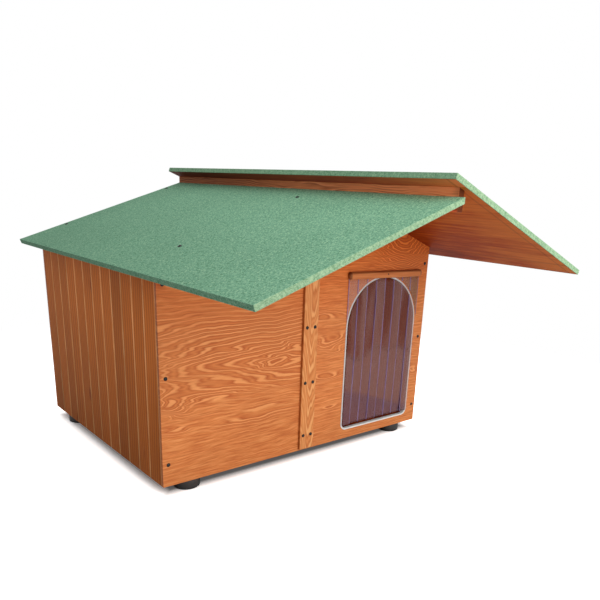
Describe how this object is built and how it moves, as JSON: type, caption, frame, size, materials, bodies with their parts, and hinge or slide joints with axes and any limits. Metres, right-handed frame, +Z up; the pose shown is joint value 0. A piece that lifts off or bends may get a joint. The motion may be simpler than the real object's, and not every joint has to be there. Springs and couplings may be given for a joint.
{
  "type": "dog house",
  "caption": "Timber kennel with matchboarded sides, plywood gables, a lapped felted roof with a deep porch and an arched doorway with a clear strip curtain.",
  "frame": {"origin": "bottom centre of the whole kennel's box, on the ground the feet stand on", "axes": "+Y from the doorway gable to the back along the ridge, +X to the right seen from the front, +Z up"},
  "size_m": [1.481, 1.7, 1.1074],
  "materials": {
    "gable_plywood": "stained and varnished plywood, satin",
    "side_boards": "stained softwood matchboard, satin",
    "cover_batten": "stained and varnished plywood batten, satin",
    "frame_timber": "stained sawn softwood",
    "ridge_timber": "stained softwood",
    "floor_plywood": "stained plywood, matt",
    "deck_plywood": "stained plywood underside, satin",
    "roof_felt": "bitumen felt with green mineral granules, matt",
    "door_trim": "white edging strip",
    "curtain_rail": "stained softwood moulding",
    "curtain_vinyl": "clear soft vinyl",
    "screws": "black coated steel",
    "feet": "black rubber"
  },
  "bodies": {
    "house": {"front_left_panel": "gable_plywood", "front_right_panel": "gable_plywood", "back_left_panel": "gable_plywood", "back_right_panel": "gable_plywood", "left_wall_board_01": "side_boards", "left_wall_board_02": "side_boards", "left_wall_board_03": "side_boards", "left_wall_board_04": "side_boards", "left_wall_board_05": "side_boards", "left_wall_board_06": "side_boards", "left_wall_board_07": "side_boards", "left_wall_board_08": "side_boards", "left_wall_board_09": "side_boards", "left_wall_board_10": "side_boards", "left_wall_board_11": "side_boards", "left_wall_board_12": "side_boards", "right_wall_board_01": "side_boards", "right_wall_board_02": "side_boards", "right_wall_board_03": "side_boards", "right_wall_board_04": "side_boards", "right_wall_board_05": "side_boards", "right_wall_board_06": "side_boards", "right_wall_board_07": "side_boards", "right_wall_board_08": "side_boards", "right_wall_board_09": "side_boards", "right_wall_board_10": "side_boards", "right_wall_board_11": "side_boards", "right_wall_board_12": "side_boards", "front_cover_batten": "cover_batten", "front_left_post": "frame_timber", "front_right_post": "frame_timber", "back_left_post": "frame_timber", "back_right_post": "frame_timber", "front_stud": "frame_timber", "back_stud": "frame_timber", "left_top_rail": "frame_timber", "right_top_rail": "frame_timber", "front_rafters": "frame_timber", "back_rafters": "frame_timber", "floor_bearers": "frame_timber", "ridge_board": "ridge_timber", "floor_panel": "floor_plywood", "roof_deck_left": "deck_plywood", "roof_deck_right": "deck_plywood", "roof_felt_left": "roof_felt", "roof_felt_right": "roof_felt", "door_edge_trim": "door_trim", "curtain_rail": "curtain_rail", "curtain_header": "curtain_vinyl", "wall_screws": "screws", "roof_screws": "screws", "feet": "feet"},
    "strip_1": {"curtain_strip_1": "curtain_vinyl"},
    "strip_2": {"curtain_strip_2": "curtain_vinyl"},
    "strip_3": {"curtain_strip_3": "curtain_vinyl"},
    "strip_4": {"curtain_strip_4": "curtain_vinyl"},
    "strip_5": {"curtain_strip_5": "curtain_vinyl"},
    "strip_6": {"curtain_strip_6": "curtain_vinyl"},
    "strip_7": {"curtain_strip_7": "curtain_vinyl"},
    "strip_8": {"curtain_strip_8": "curtain_vinyl"}
  },
  "joints": [
    {"name": "strip_1_swing", "type": "hinge", "parent": "house", "child": "strip_1", "pos_m": [0.17638, -0.20305, 0.71645], "axis": [-1, 0, 0], "range_deg": [0, 80]},
    {"name": "strip_2_swing", "type": "hinge", "parent": "house", "child": "strip_2", "pos_m": [0.22813, -0.20305, 0.71645], "axis": [-1, 0, 0], "range_deg": [0, 80]},
    {"name": "strip_3_swing", "type": "hinge", "parent": "house", "child": "strip_3", "pos_m": [0.27987, -0.20305, 0.71645], "axis": [-1, 0, 0], "range_deg": [0, 80]},
    {"name": "strip_4_swing", "type": "hinge", "parent": "house", "child": "strip_4", "pos_m": [0.33163, -0.20305, 0.71645], "axis": [-1, 0, 0], "range_deg": [0, 80]},
    {"name": "strip_5_swing", "type": "hinge", "parent": "house", "child": "strip_5", "pos_m": [0.38338, -0.20305, 0.71645], "axis": [-1, 0, 0], "range_deg": [0, 80]},
    {"name": "strip_6_swing", "type": "hinge", "parent": "house", "child": "strip_6", "pos_m": [0.43512, -0.20305, 0.71645], "axis": [-1, 0, 0], "range_deg": [0, 80]},
    {"name": "strip_7_swing", "type": "hinge", "parent": "house", "child": "strip_7", "pos_m": [0.48687, -0.20305, 0.71645], "axis": [-1, 0, 0], "range_deg": [0, 80]},
    {"name": "strip_8_swing", "type": "hinge", "parent": "house", "child": "strip_8", "pos_m": [0.53863, -0.20305, 0.71645], "axis": [-1, 0, 0], "range_deg": [0, 80]}
  ]
}
